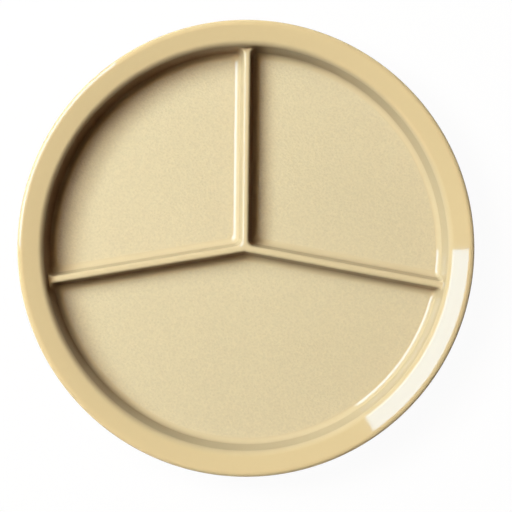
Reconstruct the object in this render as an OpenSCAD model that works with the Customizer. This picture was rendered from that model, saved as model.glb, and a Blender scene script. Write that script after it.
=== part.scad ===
// Round plate with three compartments, one moulding of nearly even thickness.
// The origin is the middle of the resting plane, +Z is up and the upper divider runs along +Y.
// The moulding is drawn region by region, and the regions meet face to face.

/* [Overall] */
// Diameter over the outer edge of the rim
plate_d = 254; // [200:1:320]
// Height from the resting plane to the highest line of the rim
plate_h = 27; // [24:0.5:40]
// Thickness of the moulding, square to its faces
wall_t = 3; // [2:0.1:3.8]
// Lean of the side wall and of the divider flanks, from vertical
draft = 11; // [6:0.5:14]
// Radius of the hollow round the edge of every compartment floor
fillet_r = 3.7; // [2.4:0.1:4.6]
// Slope at which that hollow leaves the floor
foot_slope = 8; // [6:0.5:14]
// Radius of the underside of the moulding below the side wall's hollow
under_fillet_r = 6; // [4:0.1:6.2]

/* [Rim] */
// Width of the band on top of the rim, seen from above
rim_band_w = 7.8; // [5:0.1:12]
// Slope of the band, which rises towards the edge
rim_slope = 12; // [6:0.5:16]
// Radius of the round shoulder between the side wall and the band
shoulder_r = 4.45; // [4.2:0.05:7]
// Radius across the top of the outer edge
edge_r = 4.4; // [3.6:0.1:5]
// Slope at which the outer edge begins to turn down
edge_slope = 15; // [10:1:20]
// Radius of the outer edge where it turns down
edge_corner_r = 1.6; // [1.2:0.1:2]
// Depth of the turned down edge below the underside of the band
edge_drop = 1.4; // [1.3:0.1:3]
// Width of the turned down edge
edge_w = 3.6; // [3:0.1:5]
// Radius of the two lower corners of the turned down edge
edge_under_r = 1; // [0.5:0.1:1.1]

/* [Dividers] */
// Height of the dividers over the compartment floors
divider_h = 12; // [7:0.5:13]
// Width of the flat along the crest
crest_w = 1; // [0.6:0.1:3]
// Radius of the two edges of the crest
crest_r = 1.5; // [0.8:0.1:2]
// Angle between the upper divider and each of the other two
upper_angle = 100; // [95:1:120]
// Radius of the floor's corner between two dividers, in the upper compartments
hub_corner_r = 1.2; // [0.6:0.1:6]
// Radius of the floor's corner between a divider and the side wall
root_corner_r = 0.5; // [0.3:0.1:3]

/* [Underside] */
// Height of the foot ring below the underside of the floors
foot_h = 2; // [1:0.1:4]
// Width of the foot ring
foot_w = 3.6; // [2.4:0.1:6]
// Distance from the foot ring to the edge of the floors
foot_inset = 3.6; // [2:0.1:8]
// Radius of the two lower corners of the foot ring
foot_corner_r = 0.9; // [0.4:0.1:1]
// Width of the mouth of the groove that cores out each divider
groove_w = 6.4; // [4:0.1:7.4]
// Width of the groove at its root
groove_root_w = 2; // [1:0.1:3]
// Depth of the groove
groove_depth = 5.5; // [3:0.1:5.8]
// Distance from the rounded end of a groove to the foot ring
groove_gap = 6; // [3:0.5:20]
// Diameter of the mouth of the round core under the hub, where the grooves meet
core_d = 7.8; // [7:0.1:9]
// Diameter of the core at its root
core_root_d = 3.4; // [3:0.1:5]
// Depth of the core
core_depth = 6; // [5.7:0.1:8]

/* [Hidden] */
$fn = 128;
ring_fn = 240;
tan_colour = [0.88, 0.80, 0.63];
satin_colour = [0.90, 0.83, 0.66];

// How far the circle of a rounding stands out through the sides that it joins, as a share of the thickness
ease_share = 0.0013;
ease = ease_share * wall_t;
// How far the wedge of a rounding reaches from its centre, in radii
reach = 2.2;

function dir(a) = [cos(a), sin(a)];

// The sharp corner whose sides touch the circle of radius r round c, in two directions from c
function sharp(c, r, from, to) = c + r / cos((to - from) / 2) * dir((from + to) / 2);

// The centre that lets the circle stand out through those sides
function eased(c, from, to) = c + ease / cos((to - from) / 2) * dir((from + to) / 2);

// Heights
plate_r = plate_d / 2;
under_z = foot_h;
floor_z = under_z + wall_t;
crest_z = floor_z + divider_h;

// Section of the rim and the side wall, from the edge inwards, as [radius, height]
edge_c = [plate_r - edge_corner_r - (edge_r - edge_corner_r) * sin(edge_slope), plate_h - edge_r];
edge_corner_c = edge_c + (edge_r - edge_corner_r) * dir(90 - edge_slope);
band_normal = dir(90 + rim_slope);
band_out = edge_c + edge_r * band_normal;
band_in = band_out - rim_band_w * [1, tan(rim_slope)];
shoulder_c = band_in - shoulder_r * band_normal;
wall_top = shoulder_c + shoulder_r * dir(180 - draft);
wall_foot_z = floor_z + fillet_r * (cos(foot_slope) - sin(draft));
wall_foot = [wall_top[0] - (wall_top[1] - wall_foot_z) * tan(draft), wall_foot_z];
fillet_c = wall_foot + fillet_r * dir(180 - draft);
floor_r = fillet_c[0] + fillet_r * sin(foot_slope);
wall_out = wall_top + wall_t * dir(-draft);
under_foot_z = under_z + under_fillet_r * (1 - sin(draft));
under_foot = [wall_out[0] - (wall_out[1] - under_foot_z) * tan(draft), under_foot_z];
under_c = under_foot + under_fillet_r * dir(180 - draft);

// Section of a divider, as [distance from its middle plane, height]
crest_c = [crest_w / 2, crest_z - crest_r];
flank_top = crest_c + crest_r * dir(draft);
flank_foot = [flank_top[0] + (flank_top[1] - wall_foot_z) * tan(draft), wall_foot_z];
foot_c = flank_foot + fillet_r * dir(draft);
divider_half_w = foot_c[0] - fillet_r * sin(foot_slope);

// A height clear above the crest, up to which the dividers' corners are cut out, and the wall's face there
clear_z = crest_z + wall_t;
clear_r = wall_foot[0] + (clear_z - wall_foot[1]) * tan(draft);

// Directions of the dividers, and the hub where they meet
upper_az = 90;
left_az = upper_az + upper_angle;
right_az = upper_az - upper_angle;
lower_angle = 360 - 2 * upper_angle;
hub_reach = (divider_half_w + hub_corner_r) / tan(upper_angle / 2);
lower_corner_r = hub_reach * tan(lower_angle / 2) - divider_half_w;

// Centre of the floor's corner beside the root of a divider, which runs a little over the edge of the floor
root_share = 0.3;
root_off = divider_half_w + root_corner_r;
root_dist = floor_r - (1 - root_share) * root_corner_r;
root_reach = sqrt(root_dist * root_dist - root_off * root_off);
root_az = atan(root_off / root_reach);

// Underside
foot_out_r = floor_r - foot_inset;
foot_in_r = foot_out_r - foot_w;
groove_end_r = foot_in_r - groove_gap - groove_w / 2;

// What is cut out of a corner that is drawn as a chord, to hollow it
module hollow_out(c, r, from, to) {
    translate(eased(c, from, to))
        circle(r);
}

// What is cut off a sharp corner to round it
module round_off(c, r, from, to) {
    tip = eased(c, from, to);
    difference() {
        polygon([tip, tip + reach * r * dir(from), tip + reach * r * dir(to)]);
        translate(tip)
            circle(r);
    }
}

// The rim from the top of the side wall to the turned down edge
module rim_section() {
    band_under = band_in - wall_t * band_normal;
    edge_top = band_under + (plate_r - edge_w - band_under[0]) * [1, tan(rim_slope)];
    low_z = edge_top[1] - edge_drop;
    out_c = [plate_r - edge_under_r, low_z + edge_under_r];
    in_c = [plate_r - edge_w + edge_under_r, low_z + edge_under_r];
    difference() {
        polygon([
            wall_top, sharp(shoulder_c, shoulder_r, 90 + rim_slope, 180 - draft),
            sharp(edge_c, edge_r, 90, 90 + rim_slope), sharp(edge_c, edge_r, 90 - edge_slope, 90),
            sharp(edge_corner_c, edge_corner_r, 0, 90 - edge_slope), [plate_r, low_z],
            [plate_r - edge_w, low_z], edge_top, band_under, wall_out,
        ]);
        round_off(shoulder_c, shoulder_r, 90 + rim_slope, 180 - draft);
        round_off(edge_c, edge_r, 90, 90 + rim_slope);
        round_off(edge_c, edge_r, 90 - edge_slope, 90);
        round_off(edge_corner_c, edge_corner_r, 0, 90 - edge_slope);
        round_off(out_c, edge_under_r, -90, 0);
        round_off(in_c, edge_under_r, 180, 270);
        hollow_out(shoulder_c, shoulder_r - wall_t, 90 + rim_slope, 180 - draft);
    }
}

module side_wall_section() {
    difference() {
        polygon([
            [floor_r, floor_z + fillet_r / 2], [floor_r, under_z],
            sharp(under_c, under_fillet_r, -90, -draft), wall_out, wall_top, wall_foot,
        ]);
        round_off(under_c, under_fillet_r, -90, -draft);
        hollow_out(fillet_c, fillet_r, foot_slope - 90, -draft);
    }
}

module foot_section() {
    difference() {
        translate([foot_in_r, 0])
            square([foot_w, foot_h]);
        round_off([foot_out_r - foot_corner_r, foot_corner_r], foot_corner_r, -90, 0);
        round_off([foot_in_r + foot_corner_r, foot_corner_r], foot_corner_r, 180, 270);
    }
}

// Half of a divider's section, with the hollow of its foot cut in
module half_divider_section() {
    difference() {
        polygon([
            [0, under_z], [divider_half_w, under_z], [divider_half_w, floor_z + fillet_r / 2],
            flank_foot, sharp(crest_c, crest_r, draft, 90), [0, crest_z],
        ]);
        hollow_out(foot_c, fillet_r, 180 + draft, 270 - foot_slope);
        round_off(crest_c, crest_r, draft, 90);
    }
}

module divider_section() {
    half_divider_section();
    mirror([1, 0])
        half_divider_section();
}

// What the side wall takes out of the roots of the dividers
module wall_cut() {
    rotate_extrude($fn = ring_fn)
        difference() {
            polygon([
                [floor_r, 0], [floor_r, floor_z + fillet_r / 2], wall_foot,
                [clear_r, clear_z], [plate_r, clear_z], [plate_r, 0],
            ]);
            hollow_out(fillet_c, fillet_r, foot_slope - 90, -draft);
        }
}

module half_groove_section() {
    polygon([
        [0, under_z - foot_h], [groove_w / 2, under_z - foot_h], [groove_w / 2, under_z],
        [groove_root_w / 2, under_z + groove_depth], [0, under_z + groove_depth],
    ]);
}

// The groove under a divider that runs along +X, with a round end
module groove() {
    rotate([90, 0, 90])
        linear_extrude(groove_end_r) {
            half_groove_section();
            mirror([1, 0])
                half_groove_section();
        }
    translate([groove_end_r, 0, 0])
        rotate_extrude()
            half_groove_section();
}

// The round core in which the three grooves meet
module core() {
    rotate_extrude()
        polygon([
            [0, under_z - foot_h], [core_d / 2, under_z - foot_h], [core_d / 2, under_z],
            [core_root_d / 2, under_z + core_depth], [0, under_z + core_depth],
        ]);
}

// What a compartment takes out round a corner of it: the divider's hollow, flank and crest, turned round it
module corner_cut(corner_r) {
    far = divider_half_w + corner_r;
    hollow_c = [corner_r - fillet_r * sin(foot_slope), foot_c[1]];
    rim_c = [far - crest_c[0], crest_c[1]];
    rotate_extrude()
        difference() {
            polygon([
                [0, 0], [corner_r, 0], [corner_r, floor_z],
                sharp(hollow_c, fillet_r, foot_slope - 90, -draft), [far - flank_top[0], flank_top[1]],
                [rim_c[0], crest_z], [rim_c[0], clear_z], [0, clear_z],
            ]);
            round_off(hollow_c, fillet_r, foot_slope - 90, -draft);
            hollow_out(rim_c, crest_r, 90, 180 - draft);
        }
}

// A divider from the hub to its root, cored out from below
module divider(azimuth) {
    color(tan_colour)
        rotate(azimuth)
            difference() {
                translate([hub_reach, 0, 0])
                    rotate([90, 0, 90])
                        linear_extrude(root_reach - hub_reach)
                            divider_section();
                groove();
            }
}

// The root of a divider, which flares on both sides to meet the side wall
module divider_root(azimuth) {
    corner = [root_reach, root_off];
    flare = corner + shoulder_r * reach * dir(root_az);
    color(tan_colour)
        rotate(azimuth)
            difference() {
                translate([0, 0, under_z])
                    linear_extrude(crest_z - under_z)
                        polygon([corner, flare, [flare[0], -flare[1]], [corner[0], -corner[1]]]);
                for (side = [-1, 1])
                    translate([corner[0], side * corner[1], 0])
                        corner_cut(root_corner_r);
                wall_cut();
            }
}

// Places its children at the centre of the corner at the hub, between two dividers
module at_hub_corner(from, to, corner_r) {
    half = (to - from) / 2;
    rotate(from + half)
        translate([(divider_half_w + corner_r) / sin(half), 0])
            children();
}

// The flat floor between two dividers, whose corner at the hub has radius corner_r
module compartment_floor(from, to, corner_r) {
    half = (to - from) / 2;
    side_a = corner_r * dir(90 + half);
    side_b = corner_r * dir(-90 - half);
    color(satin_colour)
        translate([0, 0, under_z])
            linear_extrude(wall_t)
                difference() {
                    intersection() {
                        circle(floor_r, $fn = ring_fn);
                        at_hub_corner(from, to, corner_r) {
                            circle(corner_r);
                            polygon([
                                side_a, [0, 0], side_b, side_b + plate_d * dir(-half),
                                [plate_d, 0], side_a + plate_d * dir(half),
                            ]);
                        }
                    }
                    rotate(from)
                        round_off([root_reach, root_off], root_corner_r, -90, root_az);
                    rotate(to)
                        round_off([root_reach, -root_off], root_corner_r, -root_az, 90);
                }
}

module rim() {
    color(tan_colour)
        rotate_extrude($fn = ring_fn)
            rim_section();
}

module side_wall() {
    color(tan_colour)
        rotate_extrude($fn = ring_fn)
            side_wall_section();
}

module foot_ring() {
    color(tan_colour)
        rotate_extrude($fn = ring_fn)
            foot_section();
}

module upper_left_floor() {
    compartment_floor(upper_az, left_az, hub_corner_r);
}

module upper_right_floor() {
    compartment_floor(right_az, upper_az, hub_corner_r);
}

module lower_floor() {
    compartment_floor(left_az, left_az + lower_angle, lower_corner_r);
}

module upper_divider() {
    divider(upper_az);
}

module left_divider() {
    divider(left_az);
}

module right_divider() {
    divider(right_az);
}

module upper_divider_root() {
    divider_root(upper_az);
}

module left_divider_root() {
    divider_root(left_az);
}

module right_divider_root() {
    divider_root(right_az);
}

module divider_hub() {
    far = divider_half_w + hub_corner_r;
    far_lower = divider_half_w + lower_corner_r;
    color(tan_colour)
        difference() {
            translate([0, 0, under_z])
                linear_extrude(crest_z - under_z)
                    polygon([
                        far / sin(upper_angle / 2) * dir(upper_az + upper_angle / 2),
                        hub_reach * dir(left_az),
                        far_lower / sin(lower_angle / 2) * dir(upper_az + 180),
                        hub_reach * dir(right_az),
                        far / sin(upper_angle / 2) * dir(upper_az - upper_angle / 2),
                        hub_reach * dir(upper_az),
                    ]);
            at_hub_corner(upper_az, left_az, hub_corner_r)
                corner_cut(hub_corner_r);
            at_hub_corner(right_az, upper_az, hub_corner_r)
                corner_cut(hub_corner_r);
            at_hub_corner(left_az, left_az + lower_angle, lower_corner_r)
                corner_cut(lower_corner_r);
            core();
            for (azimuth = [upper_az, left_az, right_az])
                rotate(azimuth)
                    groove();
        }
}

rim();
side_wall();
foot_ring();
upper_left_floor();
upper_right_floor();
lower_floor();
upper_divider();
left_divider();
right_divider();
divider_hub();
upper_divider_root();
left_divider_root();
right_divider_root();
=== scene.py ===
"""Divided compartment plate: the look of the CAD part, from above in a studio with one large soft light."""
import math

import bpy
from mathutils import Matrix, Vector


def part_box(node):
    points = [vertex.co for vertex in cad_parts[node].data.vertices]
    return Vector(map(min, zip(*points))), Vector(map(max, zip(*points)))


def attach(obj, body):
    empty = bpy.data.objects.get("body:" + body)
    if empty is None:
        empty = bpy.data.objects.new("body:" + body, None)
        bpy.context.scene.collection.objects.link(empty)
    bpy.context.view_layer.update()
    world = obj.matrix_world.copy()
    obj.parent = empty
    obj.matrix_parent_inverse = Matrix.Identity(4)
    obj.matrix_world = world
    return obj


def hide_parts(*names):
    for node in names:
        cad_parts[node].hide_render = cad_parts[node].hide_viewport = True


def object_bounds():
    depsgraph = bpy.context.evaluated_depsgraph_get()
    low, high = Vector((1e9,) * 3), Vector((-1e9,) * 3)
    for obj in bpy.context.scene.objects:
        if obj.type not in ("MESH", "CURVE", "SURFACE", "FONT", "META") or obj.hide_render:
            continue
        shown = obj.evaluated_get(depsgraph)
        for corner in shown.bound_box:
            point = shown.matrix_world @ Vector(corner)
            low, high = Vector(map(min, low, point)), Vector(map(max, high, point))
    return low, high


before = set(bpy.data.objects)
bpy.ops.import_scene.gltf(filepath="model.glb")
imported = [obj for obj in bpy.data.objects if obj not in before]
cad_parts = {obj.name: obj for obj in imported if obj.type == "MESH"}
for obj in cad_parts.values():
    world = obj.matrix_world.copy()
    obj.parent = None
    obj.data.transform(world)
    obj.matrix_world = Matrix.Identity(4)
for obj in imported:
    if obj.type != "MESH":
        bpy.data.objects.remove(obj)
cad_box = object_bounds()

MM = 0.001

# Azimuths of the dividers, and the angles between them
DIVIDERS = {"upper": 90, "left": 190, "right": -10}
UPPER_GAP = DIVIDERS["left"] - DIVIDERS["upper"]
LOWER_GAP = 360 - 2 * UPPER_GAP

# Sizes of the moulding in mm and degrees, from the frame or as in the CAD model
PLATE_R = cad_box[1][0] / MM
PLATE_H = cad_box[1][2] / MM
UNDER_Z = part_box("lower_floor")[0][2] / MM
FLOOR_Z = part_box("lower_floor")[1][2] / MM
CREST_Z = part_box("divider_hub")[1][2] / MM
WALL_T = FLOOR_Z - UNDER_Z
DRAFT = 11
FILLET_R = 3.7
UNDER_FILLET_R = 6
BAND_W = 7.8
RIM_SLOPE = 12
SHOULDER_R = 4.45
EDGE_R = 4.4
EDGE_SLOPE = 15
EDGE_CORNER_R = 1.6
EDGE_DROP = 1.4
EDGE_W = 3.6
EDGE_UNDER_R = 1
CREST_HALF_W = 0.5
CREST_R = 1.5
# The CAD model's floors: slope at which the hollow meets them, and radii of their corners at hub and roots
CAD_FOOT_SLOPE = 8
CAD_HUB_CORNER = 1.2
CAD_ROOT_CORNER = 0.5
# Width of the foot ring, which is also its distance from the edge of the floors
FOOT_W = 3.6
# Groove under each divider and round core under the hub, as half widths at mouth and root, and depths, and
# the distance from the grooves' ends to the foot ring
GROOVE = (3.2, 1, 5.5)
CORE = (3.9, 1.7, 6)
GROOVE_GAP = 6

# Where the scene follows the photograph more closely than the CAD model: radii of the upright corners at
# hub and roots, how far the dividers stand from the middle of the rim, and how steeply the hollow leaves
# the floor
HUB_CORNERS = {UPPER_GAP: 3.7, LOWER_GAP: 1.2}
ROOT_CORNERS = {"upper": 3, "left": 3.2, "right": 2}
OFF_CENTRE = (-0.55, 0.12)
FOOT_SLOPE = 0.5
# How far the hub piece reaches along each divider
HUB_REACH = 9.4

# Fineness of the skins: steps round the plate, in an arc and in a hidden arc, then rings of the hub's
# underside and the usual step along its outline in mm
RING_STEPS = 480
ARC_STEPS = 20
HIDDEN_STEPS = 8
NET_RINGS = 40
NET_STEP = 0.3
# Points that agree when rounded to 1 / WELD mm are one, and a point within NEAR mm of a plane is on it.
# LEAST_UP is the least upward part of a divider's normals.
WELD = 10000
NEAR = 0.001
LEAST_UP = 1e-6

# The plastic's colour inside, on the rim and on the floors, and the tint of its light on other surfaces. The
# colour inside is whiter than the rim's: a painted sheen, like the satin floors' own.
GOLD_INNER_PAINTED_SHEEN = (0.7, 0.61, 0.375)
GOLD_RIM = (0.712, 0.592, 0.336)
GOLD_FLOOR = (0.678, 0.6, 0.374)
# BOUNCE makes the plastic's light on other surfaces far dimmer and warmer, so the shadows beside walls and
# dividers come out deeper and browner: painted shade
BOUNCE = (0.16, 0.06, 0.02)
PLASTIC_IOR = 1.5
# Scale and share of the slow drift of the colour over the plate, and the detail of the fine grain
DRIFT_SCALE = 14
DRIFT = 0.02
GRAIN_DETAIL = 3
PLASTICS = {
    "gloss_moulding": {
        "inner": GOLD_INNER_PAINTED_SHEEN,
        "outer": GOLD_RIM,
        "roughness": 0.03,
        "specular": 0.5,
        "grain_scale": 300,
        "grain_depth": 0.000004,
        "speckle": 0.01,
    },
    "satin_floor": {
        "inner": GOLD_FLOOR,
        "outer": GOLD_FLOOR,
        "roughness": 0.5,
        "specular": 0.3,
        "grain_scale": 900,
        "grain_depth": 0.0003,
        "speckle": 0.14,
    },
}

# Studio, in metres: a floor that looks nearly white, and a dim warm room that glows on the side of the light
FLOOR_GREY = (0.9, 0.9, 0.9)
WHITE_SHARE = 0.96
FLOOR_HALF = 6
ROOM = (0.002, 0.001, 0.0005)
GLOW = (0.07, 0.036, 0.005)
GLOW_AZIMUTH = 160
GLOW_ZENITH = 80

# Panels of the soft light as azimuths, zenith angles, radiance and colour. The first group lights the plate,
# the second is seen in its gloss: there the panels are dimmer, so that the bands of reflection do not clip.
LIGHT_H = 2
PANEL_STEPS = 24
NEUTRAL = (1, 1, 1)
WARM = (1, 0.58, 0.12)
LIGHTS = {
    "light_end": ((126, 180), (15.9, 28), 9, (1, 0.7, 0.48)),
    "light_side": ((126, 150), (28, 55), 10.4, NEUTRAL),
    "light_core": ((150, 174), (28, 42), 19.6, (1, 0.92, 0.83)),
    "light_low": ((150, 174), (42, 55), 21, (0.82, 0.94, 1)),
    "light_fill": ((108, 125), (36, 66), 0.78, WARM),
}
GLEAMS = {
    "gleam_end": ((126, 180), (15.9, 28), 11.3, (0.34, 0.63, 1)),
    "gleam": ((126, 180), (28, 55), 11, (0.4, 0.68, 1)),
    "gleam_low": ((206, 250), (40, 70), 2.2, (1, 0.42, 0.12)),
    "gleam_over": ((0, 360), (0.1, 15.9), 1, (1, 0.43, 0.05)),
}

# Camera straight over the plate, its height in metres over the rim. In the picture, which is PICTURE pixels
# across, the plate's middle stands at CENTRE and its radius is TOP_R pixels. ROLL is in degrees.
PICTURE = 512
CENTRE = (245.92, 248.3)
TOP_R = 228.25
ROLL = 0.65
CAMERA_H = 2
CAMERA_SENSOR = 36
CLIP_END = 20


def cosine(a):
    return math.cos(math.radians(a))


def sine(a):
    return math.sin(math.radians(a))


def tangent(a):
    return math.tan(math.radians(a))


def direction(a):
    return (cosine(a), sine(a))


def azimuth_of(p):
    return math.degrees(math.atan2(p[1], p[0]))


def along(c, r, a):
    """The point at distance r from c in direction a."""
    d = direction(a)
    return (c[0] + r * d[0], c[1] + r * d[1])


def steps(a, b, n):
    return [a + (b - a) * i / n for i in range(n + 1)]


def unit(n):
    size = math.sqrt(sum(c * c for c in n)) or 1
    return [c / size for c in n]


def lift(points, z):
    return [(p[0], p[1], z) for p in points]


def mirrored(points):
    return [(p[0], -p[1], *p[2:]) for p in points]


def turned(points, azimuth):
    c, s = direction(azimuth)
    return [(p[0] * c - p[1] * s, p[0] * s + p[1] * c, *p[2:]) for p in points]


def area_vector(points):
    """A vector square to a polygon and as long as twice its area."""
    n = [0, 0, 0]
    for a, b in zip(points, points[1:] + points[:1]):
        n[0] += (a[1] - b[1]) * (a[2] + b[2])
        n[1] += (a[2] - b[2]) * (a[0] + b[0])
        n[2] += (a[0] - b[0]) * (a[1] + b[1])
    return n


def place(name, mesh, material):
    """Puts a mesh with one material into the scene."""
    mesh.materials.append(material)
    thing = bpy.data.objects.new(name, mesh)
    bpy.context.collection.objects.link(thing)
    return thing


class Skin:
    """Collects patches with exact normals and makes one mesh of them, turned from +X to its azimuth."""

    def __init__(self, name, azimuth=0):
        self.name = name
        self.azimuth = azimuth
        self.index = {}
        self.points = []
        self.faces = []
        self.normals = []

    def vertex(self, p):
        key = tuple(round(c * WELD) for c in p)
        if key not in self.index:
            self.index[key] = len(self.points)
            self.points.append([c * MM for c in p])
        return self.index[key]

    def face(self, points, normals, faceted=False):
        """Adds a face turned towards its normals, which are also its shading unless it is faceted."""
        ids, kept = [], []
        for p, n in zip(turned(points, self.azimuth), turned(normals, self.azimuth)):
            i = self.vertex(p)
            if i not in ids:
                ids.append(i)
                kept.append(n)
        if len(ids) < 3:
            return
        square = area_vector([self.points[i] for i in ids])
        if sum(square[k] * sum(n[k] for n in kept) for k in range(3)) < 0:
            ids.reverse()
            kept.reverse()
            square = [-c for c in square]
        self.faces.append(ids)
        self.normals += [square] * len(ids) if faceted else kept

    def grid(self, points, normals, faceted=False):
        for i in range(len(points) - 1):
            for j in range(len(points[i]) - 1):
                at = [(i, j), (i, j + 1), (i + 1, j + 1), (i + 1, j)]
                self.face([points[a][b] for a, b in at], [normals[a][b] for a, b in at], faceted)

    def flat(self, points, normal):
        self.face(points, [normal] * len(points))

    def build(self, material, nodes):
        mesh = bpy.data.meshes.new(self.name)
        mesh.from_pydata(self.points, [], self.faces)
        for polygon in mesh.polygons:
            polygon.use_smooth = True
        mesh.normals_split_custom_set([unit(n) for n in self.normals])
        piece = place(self.name, mesh, material)
        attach(piece, "root")
        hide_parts(*nodes)
        return piece


# Section of the rim and the side wall, as (radius, height)
TAN = tangent(DRAFT)
EDGE_C = (PLATE_R - EDGE_CORNER_R - (EDGE_R - EDGE_CORNER_R) * sine(EDGE_SLOPE), PLATE_H - EDGE_R)
EDGE_CORNER_C = along(EDGE_C, EDGE_R - EDGE_CORNER_R, 90 - EDGE_SLOPE)
BAND_OUT = along(EDGE_C, EDGE_R, 90 + RIM_SLOPE)
BAND_IN = (BAND_OUT[0] - BAND_W, BAND_OUT[1] - BAND_W * tangent(RIM_SLOPE))
SHOULDER_C = along(BAND_IN, -SHOULDER_R, 90 + RIM_SLOPE)
WALL_TOP = along(SHOULDER_C, SHOULDER_R, 180 - DRAFT)
WALL_OUT = along(WALL_TOP, WALL_T, -DRAFT)
HOLLOW_Z = FLOOR_Z + FILLET_R
FOOT_Z = HOLLOW_Z - FILLET_R * sine(DRAFT)
WALL_FOOT = (WALL_TOP[0] - (WALL_TOP[1] - FOOT_Z) * TAN, FOOT_Z)
WALL_HOLLOW_C = along(WALL_FOOT, FILLET_R, 180 - DRAFT)
UNDER_FOOT_Z = UNDER_Z + UNDER_FILLET_R * (1 - sine(DRAFT))
UNDER_FOOT = (WALL_OUT[0] - (WALL_OUT[1] - UNDER_FOOT_Z) * TAN, UNDER_FOOT_Z)
UNDER_C = along(UNDER_FOOT, UNDER_FILLET_R, 180 - DRAFT)

# Section of a divider, as (distance from its middle plane, height)
CREST_C = (CREST_HALF_W, CREST_Z - CREST_R)
FLANK_TOP = along(CREST_C, CREST_R, DRAFT)
FLANK_FOOT = (FLANK_TOP[0] + (FLANK_TOP[1] - FOOT_Z) * TAN, FOOT_Z)
HOLLOW_OFF = along(FLANK_FOOT, FILLET_R, DRAFT)[0]

# Edge of the CAD model's floors: radius, distance from a divider's middle plane, and corners at the hub by
# the angle between the dividers
CAD_FOOT_Z = FLOOR_Z + FILLET_R * (cosine(CAD_FOOT_SLOPE) - sine(DRAFT))
CAD_REACH = FILLET_R * (cosine(DRAFT) - sine(CAD_FOOT_SLOPE))
FLOOR_R = WALL_TOP[0] - (WALL_TOP[1] - CAD_FOOT_Z) * TAN - CAD_REACH
FLOOR_OFF = FLANK_TOP[0] + (FLANK_TOP[1] - CAD_FOOT_Z) * TAN + CAD_REACH
CAD_HUB_REACH = (FLOOR_OFF + CAD_HUB_CORNER) / tangent(UPPER_GAP / 2)
FLOOR_HUB_CORNERS = {
    UPPER_GAP: CAD_HUB_CORNER,
    LOWER_GAP: CAD_HUB_REACH * tangent(LOWER_GAP / 2) - FLOOR_OFF,
}
GROOVE_END = FLOOR_R - 2 * FOOT_W - GROOVE_GAP - GROOVE[0]


def arc(c, r, a0, a1, sign=1, n=ARC_STEPS):
    """Points of an arc in a section with their normals, outwards for sign 1 and inwards for -1."""
    return [(along(c, r, a), along((0, 0), sign, a)) for a in steps(a0, a1, n)]


def line(p, q, a):
    """Ends of a line in a section, with its normal in direction a."""
    return [(p, direction(a)), (q, direction(a))]


def revolve(skin, section):
    for stretch in section:
        points, normals = [], []
        for a in steps(0, 360, RING_STEPS):
            c, s = direction(a % 360)
            points.append([(p[0] * c, p[0] * s, p[1]) for p, n in stretch])
            normals.append([(n[0] * c, n[0] * s, n[1]) for p, n in stretch])
        skin.grid(points, normals)


def rim(material):
    band_under = along(BAND_IN, -WALL_T, 90 + RIM_SLOPE)
    rise = (PLATE_R - EDGE_W - band_under[0]) * tangent(RIM_SLOPE)
    edge_top = (PLATE_R - EDGE_W, band_under[1] + rise)
    low = edge_top[1] - EDGE_DROP
    out_c = (PLATE_R - EDGE_UNDER_R, low + EDGE_UNDER_R)
    in_c = (PLATE_R - EDGE_W + EDGE_UNDER_R, low + EDGE_UNDER_R)
    skin = Skin("rim_skin")
    revolve(skin, [
        arc(SHOULDER_C, SHOULDER_R, 180 - DRAFT, 90 + RIM_SLOPE),
        line(BAND_IN, BAND_OUT, 90 + RIM_SLOPE),
        arc(EDGE_C, EDGE_R, 90 + RIM_SLOPE, 90 - EDGE_SLOPE),
        arc(EDGE_CORNER_C, EDGE_CORNER_R, 90 - EDGE_SLOPE, 0),
        line((PLATE_R, EDGE_CORNER_C[1]), (PLATE_R, out_c[1]), 0),
        arc(out_c, EDGE_UNDER_R, 0, -90, n=HIDDEN_STEPS),
        line((out_c[0], low), (in_c[0], low), -90),
        arc(in_c, EDGE_UNDER_R, -90, -180, n=HIDDEN_STEPS),
        line((edge_top[0], in_c[1]), edge_top, 180),
        line(edge_top, band_under, RIM_SLOPE - 90),
        arc(SHOULDER_C, SHOULDER_R - WALL_T, 90 + RIM_SLOPE, 180 - DRAFT, -1, HIDDEN_STEPS),
        line(WALL_OUT, WALL_TOP, -90),
    ])
    return skin.build(material, ["rim"])


def side_wall(material):
    hollow = arc(WALL_HOLLOW_C, FILLET_R, FOOT_SLOPE - 90, -DRAFT, -1)
    edge = (FLOOR_R, UNDER_Z)
    skin = Skin("side_wall_skin")
    revolve(skin, [
        hollow,
        line(WALL_FOOT, WALL_TOP, 180 - DRAFT),
        line(WALL_TOP, WALL_OUT, 90),
        line(WALL_OUT, UNDER_FOOT, -DRAFT),
        arc(UNDER_C, UNDER_FILLET_R, -DRAFT, -90),
        line((UNDER_C[0], UNDER_Z), edge, -90),
        line(edge, hollow[0][0], 180),
    ])
    return skin.build(material, ["side_wall"])


def section_rows():
    """Rows up a divider's side: half width, height, the wall's radius there, and how each of them changes."""
    rows = []
    for a in steps(FOOT_SLOPE, 90 - DRAFT, ARC_STEPS):
        c, s = direction(a)
        out = FILLET_R * s
        rows.append((HOLLOW_OFF - out, HOLLOW_Z - FILLET_R * c, WALL_HOLLOW_C[0] + out, -c, s, c))
    for a in steps(DRAFT, 90, ARC_STEPS):
        c, s = direction(a)
        p = along(CREST_C, CREST_R, a)
        rows.append((p[0], p[1], WALL_FOOT[0] + (p[1] - FOOT_Z) * TAN, -s, c, c * TAN))
    return rows


ROWS = section_rows()


def shift(azimuth):
    """How far a divider's middle plane stands off the axis, to the left of its direction."""
    d = direction(azimuth + 90)
    return OFF_CENTRE[0] * d[0] + OFF_CENTRE[1] * d[1]


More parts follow.
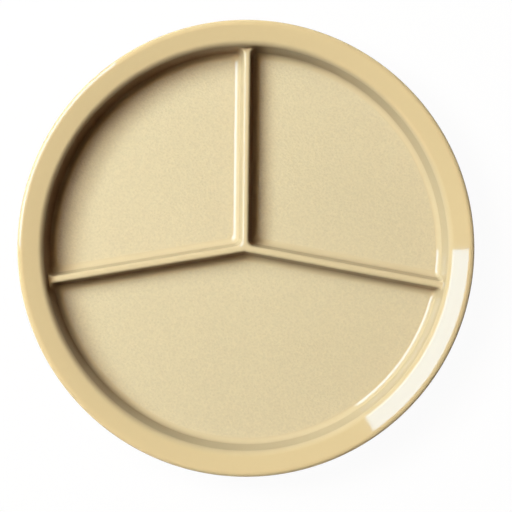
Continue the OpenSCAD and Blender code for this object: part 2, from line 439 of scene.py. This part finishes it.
def root_path(half_w, wall_r, corner_r, dw=-1, dz=0, dr=0):
    """One side of a divider along +X, from the hub piece round its corner to the wall, with normals."""
    off = half_w + corner_r
    reach = math.sqrt((wall_r - corner_r) ** 2 - off ** 2)
    speed = ((wall_r - corner_r) * dr - off * dw) / reach
    path = [((HUB_REACH, half_w), (0, dz, -dw))]
    for a in steps(-90, azimuth_of((reach, off)), ARC_STEPS):
        c, s = direction(a)
        up = max(speed * c + dw * s, LEAST_UP)
        path.append((along((reach, off), corner_r, a), (-c * dz, -s * dz, up)))
    return [p for p, n in path], [n for p, n in path]


def flank(side, off, corner_r):
    """Rows of points with normals up one side of a divider along +X: 1 is its left side and -1 its right."""
    rows, normals = [], []
    for half_w, z, wall_r, dw, dz, dr in ROWS:
        path, square = root_path(half_w + side * off, wall_r, corner_r, dw, dz, dr)
        rows.append(lift(path, z) if side > 0 else mirrored(lift(path, z)))
        normals.append(square if side > 0 else mirrored(square))
    return rows, normals


def wall_rows(lefts, rights):
    """Rows of points in the face of the wall, between the far ends of a divider's two sides."""
    rows = []
    for left, right in zip(lefts, rights):
        end = left[-1]
        across = steps(azimuth_of(end), azimuth_of(right[-1]), ARC_STEPS)
        rows.append(lift([along((0, 0), math.hypot(*end[:2]), a) for a in across], end[2]))
    return rows


def groove_path(half_w):
    """Mouth or root of the groove under a divider along +X, round its end, with the directions outwards."""
    path = [((HUB_REACH, -half_w), -90), ((GROOVE_END, -half_w), -90)]
    path += [(along((GROOVE_END, 0), half_w, a), a) for a in steps(-90, 90, ARC_STEPS)]
    return path + [((HUB_REACH, half_w), 90)]


def groove(skin):
    """Adds the groove under a divider, and gives the points of its mouth and of its root."""
    mouth, root, depth = GROOVE
    path = groove_path(mouth)
    low = lift([p for p, a in path], UNDER_Z)
    high = lift([p for p, a in groove_path(root)], UNDER_Z + depth)
    lean = [(-cosine(a) * depth, -sine(a) * depth, root - mouth) for p, a in path]
    skin.grid([low, high], [lean, lean])
    skin.flat(high, (0, 0, -1))
    return low, high


def divider(name, azimuth, material):
    skin = Skin(name + "_divider_skin", azimuth)
    low = lift(root_path(FLOOR_OFF, FLOOR_R, CAD_ROOT_CORNER)[0], UNDER_Z)
    lows = {1: low, -1: mirrored(low)}
    rows = {}
    for side in lows:
        rows[side], normals = flank(side, shift(azimuth), ROOT_CORNERS[name])
        out = [(0, side, 0)] * len(low)
        skin.grid(rows[side], normals)
        skin.grid([lows[side], rows[side][0]], [out, out])
    back = wall_rows([lows[1]] + rows[1], [lows[-1]] + rows[-1])
    skin.grid(back, [[(1, 0, 0)] * len(back[0])] * len(back))
    skin.flat(rows[1][-1] + back[-1][1:-1] + rows[-1][-1][::-1], (0, 0, 1))
    mouth, root = groove(skin)
    skin.flat(lows[1] + back[0][1:-1] + lows[-1][::-1] + mouth, (0, 0, -1))
    left, right = [[lows[side][0]] + [row[0] for row in rows[side]] for side in lows]
    skin.flat(left + right[::-1] + [mouth[0], root[0], root[-1], mouth[-1]], (-1, 0, 0))
    return skin.build(material, [name + "_divider", name + "_divider_root"])


def hub_path(a0, a1, w0, w1, corner_r, dw=-1, dz=0):
    """One side of the hub from above, from divider a0 round the corner to divider a1, with normals."""
    half = (a1 - a0) / 2
    middle = direction(a0 + half)
    n0, n1 = direction(a0 + 90), direction(a1 - 90)
    cross = n0[0] * n1[1] - n0[1] * n1[0]
    c0, c1 = w0 + corner_r, w1 + corner_r
    centre = ((c0 * n1[1] - c1 * n0[1]) / cross, (c1 * n0[0] - c0 * n1[0]) / cross)
    path = [(along(along((0, 0), HUB_REACH, a0), w0, a0 + 90), a0 - 90, 1)]
    for a in steps(a0 - 90, a1 - 270, ARC_STEPS):
        d = direction(a)
        path.append((along(centre, corner_r, a), a, -(d[0] * middle[0] + d[1] * middle[1]) / sine(half)))
    path.append((along(along((0, 0), HUB_REACH, a1), w1, a1 - 90), a1 + 90, 1))
    points = [p for p, a, move in path]
    normals = [(-cosine(a) * dz, -sine(a) * dz, -dw * move) for p, a, move in path]
    return points, normals


def hub_side(skin, a0, a1):
    """Adds the hub's side between two dividers, and gives its rows of points from the underside upwards."""
    gap = round(a1 - a0)
    rows, normals = [], []
    for half_w, z, wall_r, dw, dz, dr in ROWS:
        path, square = hub_path(a0, a1, half_w + shift(a0), half_w - shift(a1), HUB_CORNERS[gap], dw, dz)
        rows.append(lift(path, z))
        normals.append(square)
    skin.grid(rows, normals)
    base = lift(hub_path(a0, a1, FLOOR_OFF, FLOOR_OFF, FLOOR_HUB_CORNERS[gap])[0], UNDER_Z)
    out = [(*direction((a0 + a1) / 2), 0)] * len(base)
    skin.grid([base, rows[0]], [out, out])
    return [base] + rows


def rise_in(void, off):
    """How far a groove or core rises into the plate at a distance from its middle."""
    mouth, root, depth = void
    return depth * min(1, max(0, (mouth - off) / (mouth - root)))


def void_z(x, y):
    """Height of the hub's underside over the point (x, y)."""
    z = UNDER_Z + rise_in(CORE, math.hypot(x, y))
    for azimuth in DIVIDERS.values():
        c, s = direction(azimuth)
        if x * c + y * s >= 0:
            z = max(z, UNDER_Z + rise_in(GROOVE, abs(y * c - x * s)))
    return z


def hub_underside(skin, low):
    """Adds a net of rays from the axis to the outline low, and gives the net's points on the outline."""
    outline = []
    for p, q in zip(low, low[1:] + low[:1]):
        n = max(1, round(math.dist(p, q) / NET_STEP))
        outline += [(p[0] + (q[0] - p[0]) * i / n, p[1] + (q[1] - p[1]) * i / n) for i in range(n)]
    outline.append(outline[0])
    shares = steps(0, 1, NET_RINGS)
    net = [[(x * f, y * f, void_z(x * f, y * f)) for x, y in outline] for f in shares]
    skin.grid(net, [[(0, 0, -1)] * len(outline)] * len(shares), faceted=True)
    return net[-1][:-1]


def hub(material):
    skin = Skin("divider_hub_skin")
    order = sorted(a % 360 for a in DIVIDERS.values())
    sides = [hub_side(skin, a0, a1) for a0, a1 in zip(order, order[1:] + [order[0] + 360])]
    skin.flat([p for rows in sides for p in rows[-1]], (0, 0, 1))
    outline = hub_underside(skin, [p for rows in sides for p in rows[0]])
    # Each end face lies between one side's first points and the last points of the side before it
    for i, azimuth in enumerate(order):
        c, s = direction(azimuth)
        foot = [p for p in outline if abs(p[0] * c + p[1] * s - HUB_REACH) < NEAR]
        foot.sort(key=lambda p: p[0] * s - p[1] * c)
        left = [row[0] for row in sides[i]]
        right = [row[-1] for row in sides[i - 1]]
        skin.flat(right[1:] + left[:0:-1] + foot, (c, s, 0))
    return skin.build(material, ["divider_hub"])


def new_material(name):
    material = bpy.data.materials.new(name)
    material.use_nodes = True
    return material, material.node_tree


def fill(tree, node, inputs):
    """Sets a node's inputs, or links them where the value is a pair of a node and its output."""
    for key, value in inputs.items():
        if isinstance(value, tuple) and isinstance(value[0], bpy.types.Node):
            tree.links.new(value[0].outputs[value[1]], node.inputs[key])
        else:
            node.inputs[key].default_value = value


def add(tree, kind, inputs, **settings):
    """Adds a shader node with its settings and inputs."""
    node = tree.nodes.new("ShaderNode" + kind)
    for key, value in settings.items():
        setattr(node, key, value)
    fill(tree, node, inputs)
    return node


def varied(tree, colour, noise, share):
    """A colour made up to a share lighter and darker, as a noise goes."""
    spread = add(tree, "MapRange", {"Value": (noise, "Fac"), "To Min": 1 - share, "To Max": 1 + share})
    return add(tree, "VectorMath", {0: colour, "Scale": (spread, "Result")}, operation="SCALE")


def plastic(name, inner, outer, roughness, specular, grain_scale, grain_depth, speckle):
    """Moulded plastic, in its outer colour on the rim and its inner colour inside, drifting a little, with a
    fine grain. An inner colour whiter than the outer one is a painted sheen.
    """
    material, tree = new_material(name)
    where = (add(tree, "TexCoord", {}), "Object")
    drift = add(tree, "TexNoise", {"Vector": where, "Scale": DRIFT_SCALE})
    grain = add(tree, "TexNoise", {"Vector": where, "Scale": grain_scale, "Detail": GRAIN_DETAIL})
    level = add(tree, "VectorMath", {0: where, 1: (1, 1, 0)}, operation="MULTIPLY")
    radius = add(tree, "VectorMath", {0: (level, "Vector")}, operation="LENGTH")
    outwards = add(tree, "MapRange", {
        "Value": (radius, "Value"),
        "From Min": WALL_TOP[0] * MM,
        "From Max": BAND_IN[0] * MM,
    })
    # Inner colour inside the rim, outer colour on it; the gloss's whiter inner colour is a painted sheen
    tone = add(tree, "Mix", {
        "Factor": (outwards, "Result"),
        "A": (*inner, 1),
        "B": (*outer, 1),
    }, data_type="RGBA")
    drifted = varied(tree, (tone, "Result"), drift, DRIFT)
    speckled = varied(tree, (drifted, "Vector"), grain, speckle)
    # Diffuse rays see the colour multiplied by BOUNCE, which paints deeper, browner shade in the hollows
    bounce_darkened = add(tree, "Mix", {
        "Factor": (add(tree, "LightPath", {}), "Is Diffuse Ray"),
        "A": (speckled, "Vector"),
        "B": (*BOUNCE, 1),
    }, data_type="RGBA", blend_type="MULTIPLY")
    bump = add(tree, "Bump", {"Height": (grain, "Fac"), "Distance": grain_depth})
    fill(tree, tree.nodes["Principled BSDF"], {
        "Base Color": (bounce_darkened, "Result"),
        "Roughness": roughness,
        "IOR": PLASTIC_IOR,
        "Specular IOR Level": specular,
        "Normal": (bump, "Normal"),
    })
    return material


def backdrop_material():
    """Nearly white to the camera, in reflections and through glass, and a little grey where it is lit."""
    material, tree = new_material("backdrop")
    lit = tree.nodes["Principled BSDF"]
    fill(tree, lit, {"Base Color": (*FLOOR_GREY, 1), "Roughness": 1, "Specular IOR Level": 0})
    white = add(tree, "Emission", {"Strength": 1})
    ray = add(tree, "LightPath", {})
    seen = add(tree, "Math", {0: (ray, "Is Camera Ray"), 1: (ray, "Is Glossy Ray")}, operation="MAXIMUM")
    seen = add(tree, "Math", {0: (seen, "Value"), 1: (ray, "Is Transmission Ray")}, operation="MAXIMUM")
    share = add(tree, "Math", {0: (seen, "Value"), 1: WHITE_SHARE}, operation="MULTIPLY")
    mixed = add(tree, "MixShader", {"Fac": (share, "Value"), 1: (lit, "BSDF"), 2: (white, "Emission")})
    fill(tree, tree.nodes["Material Output"], {"Surface": (mixed, "Shader")})
    return material


def backdrop():
    s = FLOOR_HALF
    mesh = bpy.data.meshes.new("backdrop")
    mesh.from_pydata([(-s, -s, 0), (s, -s, 0), (s, s, 0), (-s, s, 0)], [], [(0, 1, 2, 3)])
    place("backdrop", mesh, backdrop_material())


def panel(name, azimuths, zeniths, radiance, colour):
    """Soft light high over the plate, a flat sector between two zenith angles and two azimuths."""
    material, tree = new_material(name)
    tree.nodes.remove(tree.nodes["Principled BSDF"])
    glow = add(tree, "Emission", {"Color": (*colour, 1), "Strength": radiance})
    fill(tree, tree.nodes["Material Output"], {"Surface": (glow, "Emission")})
    radii = [LIGHT_H * tangent(z) for z in zeniths]
    row = PANEL_STEPS + 1
    points = [(*along((0, 0), r, a), LIGHT_H) for r in radii for a in steps(*azimuths, PANEL_STEPS)]
    faces = [(i, i + 1, row + i + 1, row + i) for i in range(PANEL_STEPS)]
    mesh = bpy.data.meshes.new(name)
    mesh.from_pydata(points, [], faces)
    sector = place(name, mesh, material)
    sector.visible_camera = False
    sector.visible_shadow = False
    return sector


def room():
    """World: a dark warm room that glows dimly on the side of the soft light."""
    world = bpy.data.worlds.new("room")
    world.use_nodes = True
    bpy.context.scene.world = world
    tree = world.node_tree
    x, y = direction(GLOW_AZIMUTH)
    c, s = direction(GLOW_ZENITH)
    view = add(tree, "TexCoord", {})
    toward = add(tree, "VectorMath", {0: (view, "Generated"), 1: (x * s, y * s, c)}, operation="DOT_PRODUCT")
    ramp = add(tree, "ValToRGB", {"Fac": (toward, "Value")})
    ramp.color_ramp.elements[0].color = (*ROOM, 1)
    ramp.color_ramp.elements[1].color = (*GLOW, 1)
    fill(tree, tree.nodes["Background"], {"Color": (ramp, "Color")})


def camera():
    """Looks straight down, with the plate where the photograph shows it."""
    pixel = PLATE_R * MM / TOP_R
    aside = ((PICTURE / 2 - CENTRE[0]) * pixel, (CENTRE[1] - PICTURE / 2) * pixel)
    data = bpy.data.cameras.new("camera")
    data.sensor_width = CAMERA_SENSOR
    data.lens = CAMERA_SENSOR * CAMERA_H / (PICTURE * pixel)
    data.clip_end = CLIP_END
    eye = bpy.data.objects.new("camera", data)
    eye.location = (*turned([aside], ROLL)[0], EDGE_C[1] * MM + CAMERA_H)
    eye.rotation_euler = (0, 0, math.radians(ROLL))
    bpy.context.collection.objects.link(eye)
    bpy.context.scene.camera = eye


gloss, satin = [plastic(name, **values) for name, values in PLASTICS.items()]
rim(gloss)
side_wall(gloss)
for name, azimuth in DIVIDERS.items():
    divider(name, azimuth, gloss)
hub(gloss)
for name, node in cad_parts.items():
    if "floor" in name or name == "foot_ring":
        node.data.materials.clear()
        node.data.materials.append(satin if "floor" in name else gloss)

backdrop()
for name, values in LIGHTS.items():
    panel(name, *values).visible_glossy = False
for name, values in GLEAMS.items():
    panel(name, *values).visible_diffuse = False
room()
camera()
bpy.context.scene.view_settings.view_transform = "Standard"
